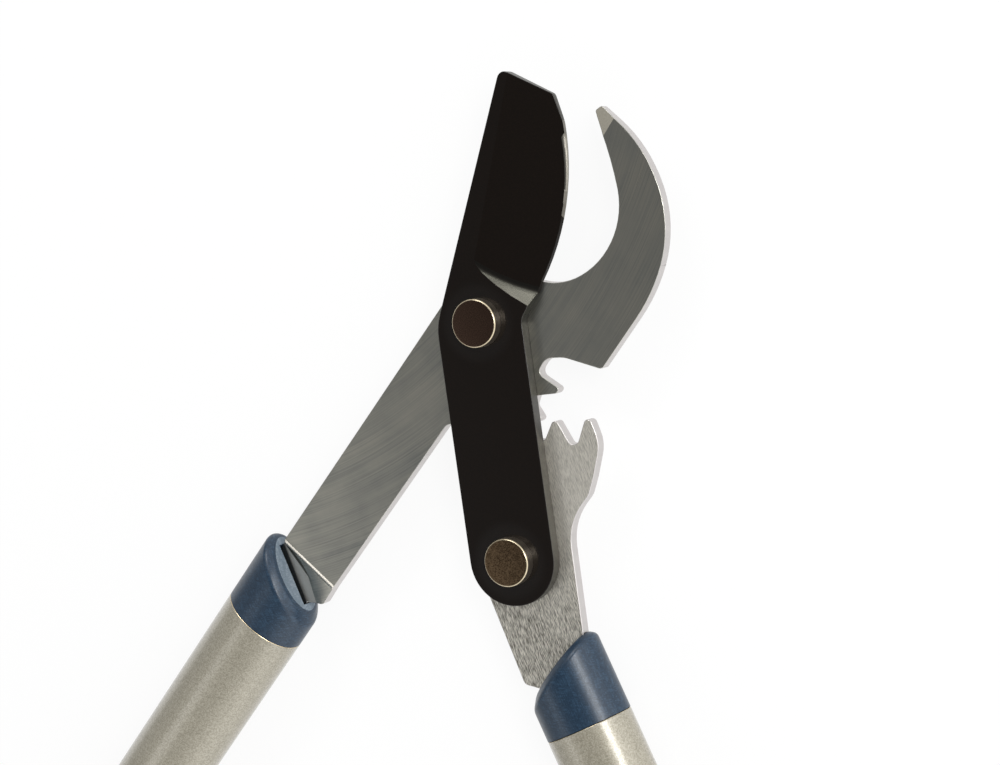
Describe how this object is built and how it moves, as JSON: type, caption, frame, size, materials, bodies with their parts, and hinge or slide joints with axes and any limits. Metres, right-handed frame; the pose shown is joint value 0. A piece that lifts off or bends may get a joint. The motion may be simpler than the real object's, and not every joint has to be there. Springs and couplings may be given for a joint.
{
  "type": "lopper",
  "caption": "Geared bypass lopper: black blade linking two toothed steel levers, oval tube handles with slanted plastic collars and soft banded grips, jaws part open.",
  "frame": {"origin": "centre of the flat end of the jaw pivot bolt, on the surface the lopper lies on", "axes": "+Z along both pivots from the nuts to the bolt heads, +Y away from the handles, which lie evenly about -Y at rest"},
  "size_m": [0.7053, 0.6521, 0.028],
  "materials": {
    "blade_coating": "satin black low friction coating on ground steel",
    "ground_steel": "ground and lightly brushed plate",
    "browned_steel": "browned heads with a bright turned rim",
    "zinc_plating": "zinc plated",
    "bush_bronze": "sintered bronze",
    "nylon": "plain nylon",
    "collar_plastic": "semi matte blue-grey",
    "tube_paint": "pearl champagne flake paint on aluminium",
    "grip_plastic": "semi matte blue-grey",
    "grip_rubber": "soft charcoal rubber"
  },
  "bodies": {
    "hook_side": {"hook_lever": "ground_steel", "hook_lever_bush": "bush_bronze", "jaw_friction_washer": "nylon", "left_collar": "collar_plastic", "left_tube": "tube_paint", "left_rivet_front": "zinc_plating", "left_rivet_rear": "zinc_plating", "left_grip": "grip_plastic", "left_soft_sleeve": "grip_rubber", "left_end_cap": "grip_plastic"},
    "blade_link": {"cutting_blade": "blade_coating", "jaw_pivot_bolt": "browned_steel", "jaw_pivot_nut": "zinc_plating", "jaw_lock_ring": "nylon", "jaw_back_washer": "zinc_plating", "link_pivot_bolt": "browned_steel", "link_pivot_nut": "zinc_plating", "link_lock_ring": "nylon", "link_back_washer": "zinc_plating"},
    "gear_side": {"gear_lever": "ground_steel", "gear_lever_bush": "bush_bronze", "link_friction_washer": "nylon", "right_collar": "collar_plastic", "right_tube": "tube_paint", "right_rivet_front": "zinc_plating", "right_rivet_rear": "zinc_plating", "right_grip": "grip_plastic", "right_soft_sleeve": "grip_rubber", "right_end_cap": "grip_plastic"}
  },
  "joints": [
    {"name": "jaw_pivot", "type": "hinge", "parent": "hook_side", "child": "blade_link", "pos_m": [0, 0, 0.014], "axis": [0, 0, 1], "range_deg": [-24, 18]},
    {"name": "link_pivot", "type": "hinge", "parent": "blade_link", "child": "gear_side", "pos_m": [0.01653, -0.07162, 0.014], "axis": [0, 0, 1], "range_deg": [-18, 13.5]}
  ],
  "couplings": [
    {"joint": "link_pivot", "follows": "jaw_pivot", "ratio": 0.75}
  ]
}
